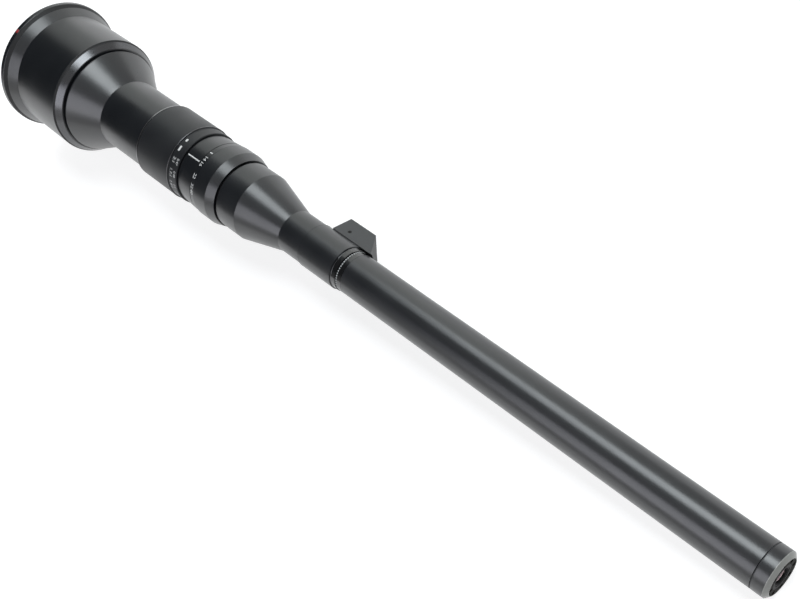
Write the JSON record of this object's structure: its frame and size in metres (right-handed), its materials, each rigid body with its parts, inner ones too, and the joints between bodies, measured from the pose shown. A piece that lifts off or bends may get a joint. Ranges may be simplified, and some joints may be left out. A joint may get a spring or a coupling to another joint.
{
  "type": "probe macro lens",
  "caption": "Long slim probe macro lens with bayonet mount, focus ring, aperture ring driving a bladed iris, and a lit tip fed from a small power box.",
  "frame": {"origin": "centre of the mount face, on the optical axis", "axes": "+X along the optical axis towards the tip, +Z from the axis through the index marks, +Y towards the side that carries the power box"},
  "size_m": [0.4542, 0.067, 0.0672],
  "materials": {
    "chrome_mount": "machined and polished",
    "screw_steel": "plain",
    "black_anodised": "satin black anodised",
    "ring_black": "satin black anodised, scales in white",
    "matte_black": "matte black, ridged against stray light",
    "index_red": "glossy",
    "optical_glass": "coated and polished",
    "trim_silver": "turned bright",
    "brass_key": "turned",
    "iris_steel": "matte black",
    "seal_rubber": "matte",
    "bezel_pale": "translucent satin",
    "board_green": "solder mask",
    "lamp_white": "moulded clear over phosphor",
    "mask_black": "smooth",
    "wire_red": "insulation",
    "box_black": "fine moulded texture",
    "socket_steel": "plated",
    "screw_black": "black oxide"
  },
  "bodies": {
    "barrel": {"bayonet_mount": "chrome_mount", "mount_screws": "screw_steel", "mount_ring": "black_anodised", "index_dot": "index_red", "rear_barrel": "black_anodised", "rear_cone": "black_anodised", "rear_cell": "matte_black", "rear_lenses": "optical_glass", "rear_retainer": "matte_black", "trim_ring": "trim_silver", "main_barrel": "matte_black", "focus_retainer": "matte_black", "index_ring": "ring_black", "iris_base": "matte_black", "iris_cover": "matte_black", "stop_cell": "matte_black", "stop_lens": "optical_glass", "front_barrel": "black_anodised", "collar": "black_anodised", "lock_ring": "ring_black", "probe_tube": "black_anodised", "inner_tube": "matte_black", "tube_spacers": "matte_black", "relay_lenses": "optical_glass", "tip_seal": "seal_rubber", "tip_ring": "black_anodised", "tip_bezel": "bezel_pale", "led_board": "board_green", "led_chips": "lamp_white", "led_mask": "mask_black", "front_cell": "matte_black", "front_lens": "optical_glass", "front_retainer": "matte_black", "led_wires": "wire_red", "power_housing": "box_black", "power_cover": "box_black", "power_board": "board_green", "power_socket": "socket_steel", "power_screw": "screw_black"},
    "focus_ring": {"focus_ring": "ring_black"},
    "focus_carriage": {"focus_cell": "matte_black", "focus_lenses": "optical_glass", "focus_key": "brass_key"},
    "aperture_ring": {"aperture_ring": "ring_black", "iris_cam_ring": "brass_key", "aperture_key": "brass_key"},
    "iris_blade_1": {"iris_blade_1": "iris_steel"},
    "iris_blade_2": {"iris_blade_2": "iris_steel"},
    "iris_blade_3": {"iris_blade_3": "iris_steel"},
    "iris_blade_4": {"iris_blade_4": "iris_steel"},
    "iris_blade_5": {"iris_blade_5": "iris_steel"},
    "iris_blade_6": {"iris_blade_6": "iris_steel"},
    "iris_blade_7": {"iris_blade_7": "iris_steel"}
  },
  "joints": [
    {"name": "focus_turn", "type": "hinge", "parent": "barrel", "child": "focus_ring", "pos_m": [0.10005, 0, 0], "axis": [1, 0, 0], "range_deg": [-170, 10]},
    {"name": "focus_travel", "type": "slide", "parent": "barrel", "child": "focus_carriage", "axis": [1, 0, 0], "range_m": [-0.00036, 0.00601]},
    {"name": "aperture_turn", "type": "hinge", "parent": "barrel", "child": "aperture_ring", "pos_m": [0.1411, 0, 0], "axis": [1, 0, 0], "range_deg": [-47, 9.5]},
    {"name": "iris_blade_1_pivot", "type": "hinge", "parent": "barrel", "child": "iris_blade_1", "pos_m": [0.14345, 0, -0.01], "axis": [1, 0, 0], "range_deg": [-3.19, 15.66]},
    {"name": "iris_blade_2_pivot", "type": "hinge", "parent": "barrel", "child": "iris_blade_2", "pos_m": [0.14369, 0.00782, -0.00623], "axis": [1, 0, 0], "range_deg": [-3.19, 15.66]},
    {"name": "iris_blade_3_pivot", "type": "hinge", "parent": "barrel", "child": "iris_blade_3", "pos_m": [0.14393, 0.00975, 0.00223], "axis": [1, 0, 0], "range_deg": [-3.19, 15.66]},
    {"name": "iris_blade_4_pivot", "type": "hinge", "parent": "barrel", "child": "iris_blade_4", "pos_m": [0.14417, 0.00434, 0.00901], "axis": [1, 0, 0], "range_deg": [-3.19, 15.66]},
    {"name": "iris_blade_5_pivot", "type": "hinge", "parent": "barrel", "child": "iris_blade_5", "pos_m": [0.14441, -0.00434, 0.00901], "axis": [1, 0, 0], "range_deg": [-3.19, 15.66]},
    {"name": "iris_blade_6_pivot", "type": "hinge", "parent": "barrel", "child": "iris_blade_6", "pos_m": [0.14465, -0.00975, 0.00223], "axis": [1, 0, 0], "range_deg": [-3.19, 15.66]},
    {"name": "iris_blade_7_pivot", "type": "hinge", "parent": "barrel", "child": "iris_blade_7", "pos_m": [0.14489, -0.00782, -0.00623], "axis": [1, 0, 0], "range_deg": [-3.19, 15.66]}
  ],
  "couplings": [
    {"joint": "focus_travel", "follows": "focus_turn", "m_per_rad": -0.0020222},
    {"joint": "iris_blade_1_pivot", "follows": "aperture_turn", "ratio": -0.33105},
    {"joint": "iris_blade_2_pivot", "follows": "aperture_turn", "ratio": -0.33105},
    {"joint": "iris_blade_3_pivot", "follows": "aperture_turn", "ratio": -0.33105},
    {"joint": "iris_blade_4_pivot", "follows": "aperture_turn", "ratio": -0.33105},
    {"joint": "iris_blade_5_pivot", "follows": "aperture_turn", "ratio": -0.33105},
    {"joint": "iris_blade_6_pivot", "follows": "aperture_turn", "ratio": -0.33105},
    {"joint": "iris_blade_7_pivot", "follows": "aperture_turn", "ratio": -0.33105}
  ]
}
